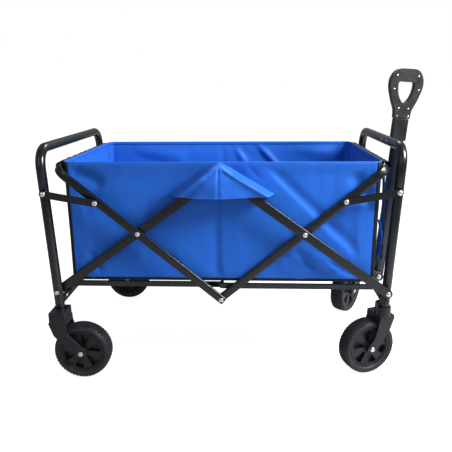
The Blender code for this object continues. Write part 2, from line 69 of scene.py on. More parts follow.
# %% Stand the camera
yaw, pitch, roll = 0.0477, 0.2655, -0.0080
look = Vector((-math.sin(yaw) * math.cos(pitch), math.cos(yaw) * math.cos(pitch), -math.sin(pitch)))
level = Vector((math.cos(yaw), math.sin(yaw), 0))
upright = level.cross(look)
right = math.cos(roll) * level + math.sin(roll) * upright
up = right.cross(look)
camera_data = bpy.data.cameras.new("front_camera")
camera_data.lens, camera_data.sensor_width = 41.95, 36
camera = bpy.data.objects.new("front_camera", camera_data)
stand_at = Matrix.Translation((0.02937, -1.5206, 0.7555))
camera.matrix_world = stand_at @ Matrix((right, up, -look)).transposed().to_4x4()
bpy.context.scene.collection.objects.link(camera)
bpy.context.scene.camera = camera
print("camera looks along", [round(v, 3) for v in look])

# %% [markdown]
# ## Studio
# A soft lamp from the upper right shapes the cloth, a wide dim one fills from the left, and a
# third behind the wagon draws light along the tops of the tubes. The surroundings look white to
# the camera and light the wagon only dimly, because black enamel would mirror a bright room as
# grey. The floor works in the same way: it is pale, and glows a little for the camera alone.

# %% Lights, surroundings and floor
def soft_light(name, place, aim, size, power):
    data = bpy.data.lights.new(name, "AREA")
    data.shape, data.size, data.energy = "DISK", size, power
    lamp = bpy.data.objects.new(name, data)
    lamp.location = place
    lamp.rotation_mode = "QUATERNION"
    lamp.rotation_quaternion = (Vector(aim) - Vector(place)).to_track_quat("-Z", "Y")
    bpy.context.scene.collection.objects.link(lamp)
    return lamp


soft_light("key_light", (1.24, -0.60, 1.36), (0, 0, 0.40), 0.55, 60)
soft_light("fill_light", (-1.4, -2.4, 1.7), (0, 0, 0.35), 2.0, 10)
soft_light("back_light", (0.5, 1.9, 2.3), (0, 0, 0.4), 1.0, 26)

studio = bpy.data.worlds.new("white_studio")
studio.use_nodes = True
bpy.context.scene.world = studio
air = studio.node_tree
dim = air.nodes.new("ShaderNodeBackground")
dim.inputs["Color"].default_value = (0.92, 0.96, 1.0, 1)
dim.inputs["Strength"].default_value = 0.27
bright = air.nodes["Background"]
bright.inputs["Color"].default_value = (1, 1, 1, 1)
bright.inputs["Strength"].default_value = 1.0
seen = air.nodes.new("ShaderNodeLightPath")
both = air.nodes.new("ShaderNodeMixShader")
air.links.new(seen.outputs["Is Camera Ray"], both.inputs["Fac"])
air.links.new(dim.outputs[0], both.inputs[1])
air.links.new(bright.outputs[0], both.inputs[2])
air.links.new(both.outputs[0], air.nodes["World Output"].inputs["Surface"])
bpy.context.scene.view_settings.view_transform = "Standard"

floor_mesh = bpy.data.meshes.new("studio_floor")
grid = bmesh.new()
bmesh.ops.create_grid(grid, x_segments=4, y_segments=4, size=60)
grid.to_mesh(floor_mesh)
grid.free()
floor = bpy.data.objects.new("studio_floor", floor_mesh)
bpy.context.scene.collection.objects.link(floor)
floor.location.z = -0.0006
pale = bpy.data.materials.new("pale_floor")
pale.use_nodes = True
paint = pale.node_tree.nodes["Principled BSDF"]
paint.inputs["Base Color"].default_value = (0.60, 0.60, 0.60, 1)
paint.inputs["Roughness"].default_value = 0.9
paint.inputs["Specular IOR Level"].default_value = 0.1
glow = pale.node_tree.nodes.new("ShaderNodeEmission")
seen = pale.node_tree.nodes.new("ShaderNodeLightPath")
faint = pale.node_tree.nodes.new("ShaderNodeMath")
faint.operation = "MULTIPLY"
faint.inputs[1].default_value = 0.90
both = pale.node_tree.nodes.new("ShaderNodeAddShader")
pale.node_tree.links.new(seen.outputs["Is Camera Ray"], faint.inputs[0])
pale.node_tree.links.new(faint.outputs[0], glow.inputs["Strength"])
pale.node_tree.links.new(paint.outputs[0], both.inputs[0])
pale.node_tree.links.new(glow.outputs[0], both.inputs[1])
pale.node_tree.links.new(both.outputs[0], pale.node_tree.nodes["Material Output"].inputs["Surface"])
floor_mesh.materials.append(pale)
print("studio: three soft lights, pale floor")

# %% [markdown]
# ## Finishes
# Each finish is one Principled shader with a few texture nodes in front of it. The helper below
# makes the shader and keeps its fixed numbers on the shader's own sockets. A second helper adds
# a node and sets its values by name, so that each recipe reads from top to bottom.

# %% Two helpers for finishes
def finish(name, colour, rough, metal=0.0, specular=0.5, sheen=0.0, coat=0.0):
    made = bpy.data.materials.new(name)
    made.use_nodes = True
    shader = made.node_tree.nodes["Principled BSDF"]
    for socket, value in (("Base Color", (*colour, 1)), ("Roughness", rough), ("Metallic", metal),
                          ("Specular IOR Level", specular), ("Sheen Weight", sheen), ("Coat Weight", coat)):
        shader.inputs[socket].default_value = value
    return made


def add(made, kind, feeds=(), **values):
    """A node in this finish. Capital names set sockets and small names set the node's own options.
    feeds are pairs of a socket and the output that feeds it."""
    node = made.node_tree.nodes.new("ShaderNode" + kind)
    for key, value in values.items():
        if key[0].isupper():
            node.inputs[key.replace("_", " ")].default_value = value
        else:
            setattr(node, key, value)
    for socket, output in feeds:
        made.node_tree.links.new(output, node.inputs[socket])
    return node


def onto(made, socket, output):
    made.node_tree.links.new(output, made.node_tree.nodes["Principled BSDF"].inputs[socket])


def between(made, amount, low, high):
    """Maps a texture's usual 0.3 to 0.7 onto low to high."""
    mapped = add(made, "MapRange", [("Value", amount)], From_Min=0.3, From_Max=0.7, To_Min=low, To_Max=high)
    return mapped.outputs[0]


def bumped(made, height, strength, distance):
    """Raises the surface by a texture."""
    bump = add(made, "Bump", [("Height", height)], Strength=strength, Distance=distance)
    onto(made, "Normal", bump.outputs[0])


def two_colours(made, amount, first, second):
    """The Base Color runs from the first colour to the second."""
    mix = add(made, "Mix", data_type="RGBA")
    made.node_tree.links.new(amount, mix.inputs["Factor"])
    colour_a, colour_b, colour_out = mix.inputs[6], mix.inputs[7], mix.outputs[2]
    colour_a.default_value = (*first, 1)
    colour_b.default_value = (*second, 1)
    onto(made, "Base Color", colour_out)


print("finish helpers ready")

# %% [markdown]
# ## Enamel on the steel
# The bars are steel tube under black stove enamel. Real enamel is not flat: it has a fine orange
# peel, hands leave slightly duller patches, and thin grey rubs show where bars pass each other.
# Three noise textures at three scales give the three effects.

# %% Black enamel
enamel = finish("black_enamel", (0.004, 0.005, 0.007), 0.24, specular=0.50)
place = add(enamel, "TexCoord").outputs["Object"]
peel = add(enamel, "TexNoise", [("Vector", place)], Scale=700.0, Detail=2.0)
dull = add(enamel, "TexNoise", [("Vector", place)], Scale=24.0, Detail=5.0)
rubs = add(enamel, "TexNoise", [("Vector", place)], Scale=160.0, Detail=9.0, Roughness=0.75)
worn = add(enamel, "MapRange", [("Value", rubs.outputs[0])],
           From_Min=0.66, From_Max=0.78, To_Min=0.0, To_Max=0.55)
two_colours(enamel, worn.outputs[0], (0.0045, 0.0055, 0.0080), (0.035, 0.037, 0.040))
onto(enamel, "Roughness", between(enamel, dull.outputs[0], 0.18, 0.30))
bumped(enamel, peel.outputs[0], 0.16, 0.0004)
print("enamel made")

# %% [markdown]
# ## Zinc on rivets and bolts
# The rivets and wheel bolts are bright zinc plate, a little blotchy. Metallic is 1, and one
# noise moves both the colour and the roughness.

# %% Zinc plate
zinc = finish("zinc_plate", (0.62, 0.65, 0.67), 0.32, metal=1.0)
place = add(zinc, "TexCoord").outputs["Object"]
blotch = add(zinc, "TexNoise", [("Vector", place)], Scale=260.0, Detail=6.0)
two_colours(zinc, between(zinc, blotch.outputs[0], 0, 1), (0.50, 0.53, 0.55), (0.82, 0.84, 0.85))
onto(zinc, "Roughness", between(zinc, blotch.outputs[0], 0.42, 0.24))
bumped(zinc, blotch.outputs[0], 0.25, 0.0003)
print("zinc made")

# %% [markdown]
# ## Moulded plastic, tyre rubber and grip rubber
# Forks and hubs are black plastic with the fine grain of a spark-eroded mould. The tyres are
# softer and duller, with pale dust in the low places. The grip has a leathery grain, which a
# cell texture gives.

# %% Plastic and rubbers
plastic = finish("moulded_plastic", (0.008, 0.009, 0.011), 0.42, specular=0.32)
place = add(plastic, "TexCoord").outputs["Object"]
grain = add(plastic, "TexNoise", [("Vector", place)], Scale=1500.0, Detail=3.0)
flow = add(plastic, "TexNoise", [("Vector", place)], Scale=35.0, Detail=4.0)
two_colours(plastic, between(plastic, flow.outputs[0], 0, 1), (0.006, 0.007, 0.009), (0.012, 0.013, 0.016))
onto(plastic, "Roughness", between(plastic, flow.outputs[0], 0.36, 0.52))
bumped(plastic, grain.outputs[0], 0.22, 0.0003)

rubber = finish("tyre_rubber", (0.008, 0.009, 0.011), 0.50, specular=0.34)
place = add(rubber, "TexCoord").outputs["Object"]
crumb = add(rubber, "TexNoise", [("Vector", place)], Scale=900.0, Detail=5.0, Roughness=0.7)
dust = add(rubber, "TexNoise", [("Vector", place)], Scale=48.0, Detail=7.0)
two_colours(rubber, between(rubber, dust.outputs[0], 0, 1), (0.007, 0.008, 0.010), (0.020, 0.021, 0.024))
onto(rubber, "Roughness", between(rubber, dust.outputs[0], 0.42, 0.62))
bumped(rubber, crumb.outputs[0], 0.35, 0.0004)

grip_skin = finish("grip_rubber", (0.010, 0.010, 0.012), 0.46, specular=0.36)
place = add(grip_skin, "TexCoord").outputs["Object"]
cells = add(grip_skin, "TexVoronoi", [("Vector", place)], feature="DISTANCE_TO_EDGE", Scale=560.0)
touch = add(grip_skin, "TexNoise", [("Vector", place)], Scale=55.0, Detail=5.0)
two_colours(grip_skin, between(grip_skin, touch.outputs[0], 0, 1),
            (0.008, 0.008, 0.010), (0.017, 0.017, 0.019))
onto(grip_skin, "Roughness", between(grip_skin, touch.outputs[0], 0.40, 0.54))
bumped(grip_skin, cells.outputs[0], 0.15, 0.0004)
print("plastic, tyre rubber and grip rubber made")

# %% [markdown]
# ## Oxford cloth
# The tub is a coated polyester oxford. Its weave is a small basket: two sine waves across each
# other make the crowns of the threads. The pieces carry their own flat cut as UVs in metres, so
# one number sets the thread pitch everywhere. Slow noise gives the uneven dye, and a stretched
# noise along the threads gives slubs. The same recipe serves the blue body, the black base cloth
# and the black webbing, which has a coarser weave.

# %% Cloth recipe
def wave(made, side, pitch):
    """A sine along one side of the flat cut, with one crown to each thread."""
    turns = add(made, "Math", [(0, side)], operation="MULTIPLY")
    turns.inputs[1].default_value = math.pi / pitch
    return add(made, "Math", [(0, turns.outputs[0])], operation="SINE").outputs[0]


def streaks(made, flat, scale):
    """Noise pulled long in one direction."""
    pulled = add(made, "Mapping", [("Vector", flat)], Scale=scale)
    return add(made, "TexNoise", [("Vector", pulled.outputs[0])], Scale=1.0, Detail=2.0).outputs[0]


def cloth(name, light, dark, pitch, rough, sheen, relief):
    made = finish(name, light, rough, specular=0.16, sheen=sheen)
    made.node_tree.nodes["Principled BSDF"].inputs["Sheen Roughness"].default_value = 0.5
    flat = add(made, "TexCoord").outputs["UV"]
    sides = add(made, "SeparateXYZ", [(0, flat)])
    crossed = [(n, wave(made, sides.outputs[axis], pitch)) for n, axis in enumerate("XY")]
    crowns = add(made, "Math", crossed, operation="MULTIPLY").outputs[0]
    pulls = [(0, streaks(made, flat, (260.0, 18.0, 1.0))), (1, streaks(made, flat, (18.0, 260.0, 1.0)))]
    slub = add(made, "Math", pulls, operation="MULTIPLY").outputs[0]
    dye = add(made, "TexNoise", [("Vector", flat)], Scale=7.0, Detail=4.0).outputs[0]
    shade = add(made, "Math", [(0, dye), (1, slub)], operation="ADD").outputs[0]
    amount = add(made, "MapRange", [("Value", shade)], From_Min=0.40, From_Max=1.10, To_Min=0.0, To_Max=1.0)
    two_colours(made, amount.outputs[0], dark, light)
    onto(made, "Roughness", between(made, dye, rough - 0.06, rough + 0.06))
    bumped(made, add(made, "Math", [(0, crowns), (1, slub)], operation="ADD").outputs[0], relief, 0.0004)
    return made


blue_cloth = cloth("blue_oxford", (0.018, 0.132, 0.600), (0.013, 0.102, 0.500),
                   pitch=0.0006, rough=0.50, sheen=0.03, relief=0.10)
black_cloth = cloth("black_oxford", (0.010, 0.011, 0.013), (0.006, 0.007, 0.009),
                    pitch=0.0006, rough=0.60, sheen=0.04, relief=0.20)
webbing = cloth("black_webbing", (0.015, 0.015, 0.017), (0.008, 0.008, 0.009),
                pitch=0.0018, rough=0.62, sheen=0.05, relief=0.45)
blue_thread = finish("blue_thread", (0.045, 0.180, 0.620), 0.55, specular=0.3)
place = add(blue_thread, "TexCoord").outputs["Object"]
twist = add(blue_thread, "TexNoise", [("Vector", place)], Scale=1800.0, Detail=2.0)
two_colours(blue_thread, twist.outputs[0], (0.030, 0.120, 0.480), (0.070, 0.250, 0.780))
bumped(blue_thread, twist.outputs[0], 0.5, 0.0003)
print("blue and black cloth, webbing and thread made")

# %% [markdown]
# ## Finish the frame's own parts
# The frame's steel, plastic and zinc parts already have the right shape, so they keep it and get
# a better surface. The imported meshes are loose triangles: a Weld joins them, a Bevel rounds the
# edges of flat bars and mouldings, and smoothing by angle keeps the turned parts round.

# %% Paint and round the frame's parts
def round_edges(part, width, steps):
    """Weld the triangles, round the sharp edges and shade the rest smooth."""
    weld = part.modifiers.new("weld", "WELD")
    weld.merge_threshold = 0.00002
    if width:
        edge = part.modifiers.new("rounded_edges", "BEVEL")
        edge.width, edge.segments = width, steps
        edge.limit_method, edge.angle_limit = "ANGLE", math.radians(38)
    smooth = part.modifiers.new("even_shading", "WEIGHTED_NORMAL")
    smooth.keep_sharp = False
    for face in part.data.polygons:
        face.use_smooth = True


looks = {"black_paint": enamel, "black_plastic": plastic, "tyre_rubber": rubber, "zinc": zinc,
         "blue_fabric": blue_cloth}
# words in a part's name, the width of its rounding in metres and the steps of it
ROUNDINGS = [(("cross_bar", "loop", "link"), 0.0034, 3), (("floor_bar",), 0.0022, 2),
             (("fork", "cup", "collar", "bracket"), 0.0016, 2), (("grip_shell",), 0.0030, 3),
             (("rim",), 0.0006, 1), (("",), 0.0, 0)]
for name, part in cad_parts.items():
    packed_look = part.data.materials[0].name.split(".")[0]
    part.material_slots[0].material = grip_skin if name.startswith("grip_shell") else looks[packed_look]
    width, steps = next((w, n) for words, w, n in ROUNDINGS if any(word in name for word in words))
    round_edges(part, width, steps)
print("painted", len(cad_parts), "parts")

# %% [markdown]
# ## Building with grids
# Cloth is easiest to sew from a grid: a rule gives the place of each point, and neighbouring
# points make the faces. The helper keeps the flat cut as UVs in metres for the weave.

# %% Grid helper
def piece_from(name, points, faces, body, look, flat=None):
    mesh = bpy.data.meshes.new(name)
    mesh.from_pydata([tuple(p) for p in points], [], faces)
    mesh.validate()
    if flat is not None:
        cut = mesh.uv_layers.new(name="flat_cut")
        for loop in mesh.loops:
            cut.data[loop.index].uv = flat[loop.vertex_index]
    mesh.materials.append(look)
    for face in mesh.polygons:
        face.use_smooth = True
    made = bpy.data.objects.new(name, mesh)
    bpy.context.scene.collection.objects.link(made)
    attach(made, body)
    return made


def grid_faces(rows, columns, wrap=False):
    across = columns if wrap else columns - 1
    faces = []
    for r in range(rows - 1):
        below, above = r * columns, (r + 1) * columns
        faces += [(below + c, below + (c + 1) % columns, above + (c + 1) % columns, above + c)
                  for c in range(across)]
    return faces


def thicken(made, thick, offset=0.0):
    skin = made.modifiers.new("cloth_thickness", "SOLIDIFY")
    skin.thickness, skin.offset = thick, offset
    return made


def ease(value):
    value = min(1.0, max(0.0, value))
    return value * value * (3 - 2 * value)


print("grid helpers ready")

# %% [markdown]
# ## The tub
# The tub is one long strip of cloth sewn round a floor. Here it is a single shell: its rows start
# at the hem's inner edge, climb to the rim, fold over it, run down the outside, turn at the
# bottom and close over the floor. A rounded rectangle gives the place along each row. The ends
# lean out by 3 mm at the top, where they hang on the frame's crossbars, and belly in below. The
# long walls carry the creases of a hanging cloth: each is a line on the wall with a width and a
# depth.

# %% Measures of the tub
SHIFT, LIFT = -0.04473, 0.0085         # added to x and z, from the drawing's frame to the row's
HALF_LONG, HALF_WIDE = 0.3950, 0.2322
RIM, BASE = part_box("fabric_tub")[1][2] - LIFT, 0.2462
CORNER = 0.016
HEM = 0.007

# ends of each crease on the wall facing the camera: x, z, x, z, width, depth (+ is outwards)
NEAR_CREASES = [
    (0.062, 0.557, 0.122, 0.486, 0.008, -0.0040), (0.052, 0.557, 0.112, 0.486, 0.007, 0.0030),
    (0.070, 0.558, 0.330, 0.296, 0.030, 0.0050), (0.100, 0.562, 0.345, 0.330, 0.016, -0.0040),
    (0.094, 0.500, 0.150, 0.478, 0.007, 0.0030), (0.120, 0.520, 0.176, 0.455, 0.008, 0.0024),
    (0.012, 0.470, 0.016, 0.262, 0.030, 0.0045), (-0.012, 0.470, -0.008, 0.262, 0.016, -0.0036),
    (-0.372, 0.545, -0.300, 0.500, 0.018, -0.0050), (-0.378, 0.500, -0.350, 0.300, 0.016, 0.0030),
    (-0.330, 0.560, -0.255, 0.548, 0.010, -0.0022), (-0.290, 0.350, -0.230, 0.300, 0.020, -0.0030),
    (-0.365, 0.300, -0.330, 0.262, 0.012, 0.0034), (-0.345, 0.330, -0.318, 0.270, 0.010, -0.0030),
    (0.150, 0.300, 0.215, 0.262, 0.016, 0.0036), (0.185, 0.330, 0.240, 0.288, 0.013, -0.0034),
    (0.225, 0.318, 0.300, 0.270, 0.012, 0.0034), (0.275, 0.300, 0.345, 0.262, 0.010, -0.0028),
    (0.330, 0.530, 0.372, 0.440, 0.018, -0.0040), (0.352, 0.470, 0.360, 0.300, 0.016, 0.0026),
    (-0.120, 0.340, -0.050, 0.262, 0.024, 0.0024), (-0.200, 0.440, -0.120, 0.400, 0.030, -0.0020),
]
# and on the far wall, seen from inside over the near rim
FAR_CREASES = [
    (0.088, 0.560, 0.200, 0.440, 0.010, -0.0060), (0.070, 0.560, 0.180, 0.440, 0.010, 0.0040),
    (0.020, 0.552, 0.060, 0.480, 0.010, -0.0040), (-0.020, 0.560, -0.016, 0.460, 0.006, 0.0040),
    (-0.004, 0.556, 0.110, 0.500, 0.012, 0.0030), (-0.300, 0.540, -0.140, 0.500, 0.026, -0.0034),
    (-0.360, 0.500, -0.120, 0.440, 0.030, 0.0034), (0.220, 0.545, 0.340, 0.520, 0.020, -0.0028),
    (0.240, 0.500, 0.350, 0.400, 0.030, 0.0030),
]
print("rim at", round(RIM, 3), "base at", round(BASE, 3), "creases", len(NEAR_CREASES) + len(FAR_CREASES))

# %% [markdown]
# A crease is a soft step in depth: the distance to its line gives the depth, and it fades at
# both ends. Broad noise adds the loose waves between creases, pulled long across the cloth.

# %% How far the cloth stands off its flat wall
def crease(x, z, line):
    x0, z0, x1, z1, width, depth = line
    run = Vector((x1 - x0, z1 - z0))
    along = ((x - x0) * run.x + (z - z0) * run.y) / run.length_squared
    aside = abs((x - x0) * run.y - (z - z0) * run.x) / run.length
    fade = ease((along + 0.12) / 0.3) * ease((1.12 - along) / 0.3)
    return depth * fade * math.exp(-((aside / width) ** 2))


def wall_depth(x, z, side):
    """side is -1 for the wall facing the camera and +1 for the far one."""
    creases = NEAR_CREASES if side < 0 else FAR_CREASES
    depth = 1.5 * sum(crease(x, z, line) for line in creases)
    depth += 0.0016 * noise.noise(Vector((x * 9, side * 3, z * 14)))
    depth += 0.0007 * noise.noise(Vector((x * 34, side * 7, z * 22)))
    held = ease((RIM - z) / 0.040) * ease((z - BASE) / 0.030) * ease((HALF_LONG - abs(x)) / 0.030)
    return min(depth, 0.0022) * held - 0.0035 * held * ease((z - BASE) / 0.15)


def end_depth(y, z, front):
    """The ends lean out to their crossbar at the top and belly in below it."""
    middle = ease((HALF_WIDE - abs(y)) / 0.045)
    lean = 0.0030 * ease((z - 0.500) / 0.060)
    belly = -0.0050 * math.sin(math.pi * min(1.0, max(0.0, (z - BASE) / (RIM - BASE))))
    waves = 0.0042 * noise.noise(Vector((front * 5, y * 12 + z * 9, z * 7)))
    waves += 0.0018 * noise.noise(Vector((3, y * 40, z * 24)))
    return middle * (lean + belly + waves * ease((RIM - z) / 0.03))


def wall_push(x, y, z, out_x, out_y):
    """How far the wall stands out of the plain rectangle here, blended round the corners."""
    long_side = abs(out_y) * wall_depth(x, z, 1 if out_y > 0 else -1)
    return long_side + abs(out_x) * end_depth(y, z, 1 if out_x > 0 else -1)


print("depth of the near wall at its middle:", round(wall_depth(0.0, 0.4, -1) * 1000, 2), "mm")

# %% [markdown]
# Each point along a row is kept as a side of the rectangle and a share of that side, or as a
# corner and an angle. The same list serves every row, so the rows join without a seam.

# %% Lay out one row, then stack the rows
def row_stations():
    stations = []
    for side, count in (("near", 150), ("front", 72), ("far", 150), ("rear", 72)):
        stations += [(side, (n + 0.5) / count) for n in range(count)]
        stations += [(side + "_corner", n / 6) for n in range(7)]
    return stations


def on_row(station, inset, radius):
    """(x, y, outward x, outward y) on a rectangle pulled in by inset."""
    side, share = station
    long, wide = HALF_LONG - inset, HALF_WIDE - inset
    radius = min(radius, long, wide) * 0.999
    turn = {"near": -90, "front": 0, "far": 90, "rear": 180}[side.split("_")[0]]
    if side.endswith("_corner"):
        angle = math.radians(turn + 90 * share)
        cx = (long - radius) * (1 if side in ("near_corner", "front_corner") else -1)
        cy = (wide - radius) * (1 if side in ("front_corner", "far_corner") else -1)
        return cx + radius * math.cos(angle), cy + radius * math.sin(angle), math.cos(angle), math.sin(angle)
    angle = math.radians(turn)
    reach = (long if side in ("near", "far") else wide) - radius
    slide = reach * (2 * share - 1)
    out_x, out_y = math.cos(angle), math.sin(angle)
    x, y = {"near": (slide, -wide), "front": (long, slide),
            "far": (-slide, wide), "rear": (-long, -slide)}[side]
    return x, y, out_x, out_y


def tub_section():
    """(height, inset, distance along the cloth) from the hem's inner edge to the middle of the floor."""
    run = 0.0
    top, turn, inside, over = RIM - 0.0016, 0.012, 0.0014, 0.0007
    rows = [(top - HEM * (1 - n / 4), inside) for n in range(5)]
    rows += [(top + over * math.sin(a), over + over * math.cos(a))
             for a in (math.pi / 4, math.pi / 2, 3 * math.pi / 4)]
    rows += [(top - (top - BASE - turn) * n / 56, 0.0) for n in range(57)]
    rows += [(BASE + turn - turn * math.sin(a), turn - turn * math.cos(a)) for a in (0.4, 0.8, 1.2)]
    rows += [(BASE, inset) for inset in (turn, 0.030, 0.060, 0.100, 0.140, 0.180, 0.210, 0.226)]
    laid = [(*rows[0], 0.0)]
    for before, after in zip(rows, rows[1:]):
        run += math.hypot(after[0] - before[0], after[1] - before[1])
        laid.append((*after, run))
    return laid


stations, section = row_stations(), tub_section()
points, flat, around = [], [], 0.0
girth = []
for n, station in enumerate(stations):
    x, y, _, _ = on_row(station, 0.0, CORNER)
    if n:
        around += math.hypot(x - girth[-1][1], y - girth[-1][2])
    girth.append((around, x, y))
for z, inset, run in section:
    for station, (u, _, _) in zip(stations, girth):
        x, y, out_x, out_y = on_row(station, inset, CORNER + 0.6 * inset if z < BASE + 0.02 else CORNER)
        on_floor = z <= BASE + 1e-6 and inset > 0.02
        push = 0.0 if on_floor else wall_push(x, y, z, out_x, out_y)
        points.append((x + out_x * push + SHIFT, y + out_y * push, z + LIFT))
        flat.append((u, run))
faces = grid_faces(len(section), len(stations), wrap=True)
last = (len(section) - 1) * len(stations)
faces.append(tuple(range(last, last + len(stations))))
tub = thicken(piece_from("tub_cloth", points, faces, "rear_frame", blue_cloth, flat), 0.0008, -1.0)
print("tub cloth:", len(points), "points,", round(sum(f.area for f in tub.data.polygons), 3), "square metres")

# %% [markdown]
# The real cloth crumples when the wagon folds. Every piece that is sewn to the tub goes through
# one helper, which gives the piece its own copy of its mesh.

def folds_up(made):
    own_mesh(made)
    return made


folds_up(tub)
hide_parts("fabric_tub")

# %% [markdown]
# ## Lapels over the top pivots
# On each side a folded lapel covers the pivot at the top of the crossed bars. It is a small tent,
# pointed at the rim and wide below: sewn to the wall along its two slanting edges, open at the
# bottom, and held away from the wall by the bars. Its rows run from the rim down, and the depth
# eases to nothing at the sewn edges.

# %% Sew a lapel on each side
LAPEL_GRID = 61, 31                    # points across and down


def lapel(name, side):
    across, down = LAPEL_GRID
    tip_height, tip_x = (0.0100, 0.024) if side > 0 else (0.0012, -0.004)
    points, flat = [], []
    for r in range(down):
        fall = r / (down - 1)
        left, right = -0.012 + fall * -0.120, 0.002 + fall * 0.133
        for c in range(across):
            share = c / (across - 1)
            x = left + share * (right - left)
            low = 0.4790 - 0.0045 * math.sin(math.pi * share)
            z = (RIM - 0.0008) + fall * (low - RIM + 0.0008)
            edge = min(x - left, right - x)
            stand = ease(edge / 0.017) * ease(fall / 0.20)
            off = x + 0.004
            tent = max(0.0, 1 - off / 0.094) if off > 0 else max(0.0, 1 - (off / 0.112) ** 2)
            proud = 0.0292 + 0.0175 * tent * ease(fall / 0.6) - 0.0024 * math.exp(-((off / 0.0035) ** 2))
            streak = (z - 0.552) + 0.66 * (x - 0.004)
            proud += 0.0050 * math.exp(-((streak / 0.009) ** 2)) * ease(x / 0.02)
            proud -= 0.0030 * math.exp(-((((z - 0.500) - 0.9 * (x + 0.060)) / 0.010) ** 2)) * ease(-x / 0.02)
            proud += 0.0012 * noise.noise(Vector((x * 40, side, z * 40)))
            peak = tip_height * math.exp(-(((x - tip_x) / 0.009) ** 2)) * (1 - ease(fall / 0.12))
            points.append((x + SHIFT, side * (0.2336 + max(0.0288, proud) * stand), z + peak + LIFT))
            flat.append((x, z))
    made = thicken(piece_from(name, points, grid_faces(down, across), "rear_frame", blue_cloth, flat), 0.0010)
    folds_up(made)
    return made


lapels = {side: lapel(name, side) for side, name in ((-1, "lapel_near"), (1, "lapel_far"))}
print("lapels sewn on:", [made.name for made in lapels.values()])

# %% [markdown]
# ## Stitches
# A row of thread runs below the rim, along the slanting edges of each lapel and along its hem.
# Each stitch is a small spindle that dips into the cloth at both ends. All stitches of a seam
# share one mesh, so that they stay light.

# %% Stitch helper and the seams
def seam(name, line, outward, pitch=0.0048, thick=0.0007):
    """Spindles along a line of points; outward gives the direction away from the cloth at a point."""
    line = [Vector(p) for p in line]
    run, points, faces = [0.0], [], []
    for before, after in zip(line, line[1:]):
        run.append(run[-1] + (after - before).length)

    def at(distance):
        n = min(len(run) - 2, max(0, int(np.searchsorted(run, distance)) - 1))
        share = (distance - run[n]) / max(1e-9, run[n + 1] - run[n])
        return line[n].lerp(line[n + 1], share), (line[n + 1] - line[n]).normalized()

    for k in range(int(run[-1] / pitch)):
        middle, ahead = at((k + 0.5) * pitch)
        out = outward(middle)
        aside = ahead.cross(out).normalized()
        start = len(points)
        for share, swell in ((-0.36, 0.25), (-0.2, 0.85), (0.2, 0.85), (0.36, 0.25)):
            for a in range(5):
                turn = a * 2 * math.pi / 5
                points.append(middle + ahead * share * pitch
                              + (out * (math.sin(turn) + 0.4) + aside * math.cos(turn)) * thick * swell)
        faces += [tuple(start + k for k in quad) for quad in grid_faces(4, 5, wrap=True)]
        faces += [tuple(start + a for a in range(4, -1, -1)), tuple(start + 15 + a for a in range(5))]
    return folds_up(piece_from(name, points, faces, "rear_frame", blue_thread))


def wall_point(station, z, proud):
    x, y, out_x, out_y = on_row(station, 0.0, CORNER)
    push = wall_push(x, y, z, out_x, out_y)
    return Vector((x + out_x * (push + proud) + SHIFT, y + out_y * (push + proud), z + LIFT))


def away(point):
    """The side that a point of the rim faces."""
    x, y = point.x - SHIFT, point.y
    if HALF_LONG - abs(x) < HALF_WIDE - abs(y):
        return Vector((math.copysign(1, x), 0, 0))
    return Vector((0, math.copysign(1, y), 0))


seam("rim_stitches", [wall_point(s, RIM - 0.0060, 0.0002) for s in stations], away)
for side, made in lapels.items():
    across, down = LAPEL_GRID
    outward = Vector((0, side, 0))
    raised = [v.co + outward * 0.0006 for v in made.data.vertices[:across * down]]
    rows = [raised[r * across:(r + 1) * across] for r in range(down)]
    for edge, column in (("rear", 3), ("front", across - 4)):
        seam(f"{made.name}_{edge}_stitches", [row[column] for row in rows[2:]], lambda p: outward)
    seam(f"{made.name}_hem_stitches", rows[down - 2], lambda p: outward)
print("rim seam and six lapel seams")

# %% [markdown]
# ## Binding tape and base cloth
# The four upright corners are bound in black tape, and a black base cloth comes up the walls by
# 10 mm. Both follow the tub a hair outside it, so they are made from the same rules as the wall.

# %% Bind the corners and the base
def wall_tape(name, chosen, low, high, proud, thick, steps=40):
    points, flat = [], []
    for r in range(steps):
        z = low + (high - low) * r / (steps - 1)
        for c, station in enumerate(chosen):
            points.append(wall_point(station, z, proud))
            flat.append((c * 0.002, z))
    made = piece_from(name, points, grid_faces(steps, len(chosen), False), "rear_frame", black_cloth, flat)
    return folds_up(thicken(made, thick, 1.0))


count = len(stations)
for corner in ("near", "front", "far", "rear"):
    first = next(n for n, s in enumerate(stations) if s[0] == corner + "_corner")
    begin = 1 if corner in ("near", "far") else -2
    chosen = [stations[(first + begin + k) % count] for k in range(8)]
    wall_tape(f"corner_tape_{corner}", chosen, BASE + 0.004, RIM - 0.001, 0.0006, 0.0010)

# height above the tub's floor and distance in from its wall
base_rows = [(0.0105, 0.0), (0.0090, 0.0), (0.006, 0.0004), (0.003, 0.0022), (0.0008, 0.005),
             (-0.0004, 0.009), (-0.0006, 0.03), (-0.0006, 0.08), (-0.0006, 0.15), (-0.0006, 0.20)]
points, flat = [], []
for lift, inset in base_rows:
    for station, (u, _, _) in zip(stations, girth):
        x, y, out_x, out_y = on_row(station, inset, CORNER + 0.6 * inset)
        proud = 0.0008 if inset < 0.008 else 0
        points.append((x + out_x * proud + SHIFT, y + out_y * proud, BASE + lift + LIFT))
        flat.append((u, lift - inset))
faces = grid_faces(len(base_rows), len(stations), wrap=True)
last = (len(base_rows) - 1) * len(stations)
faces.append(tuple(range(last, last + len(stations))))
base = piece_from("base_cloth", points, faces, "rear_frame", black_cloth, flat)
folds_up(thicken(base, 0.0010, 1.0))
print("four corner tapes and the base cloth")

# %% [markdown]
# ## Sleeves over the end crossbars
# At each end the top of the tub is sewn into a sleeve that runs over the loop's crossbar. Its
# section is a rounded hook: up from the rim, over the bar and back under to the wall.

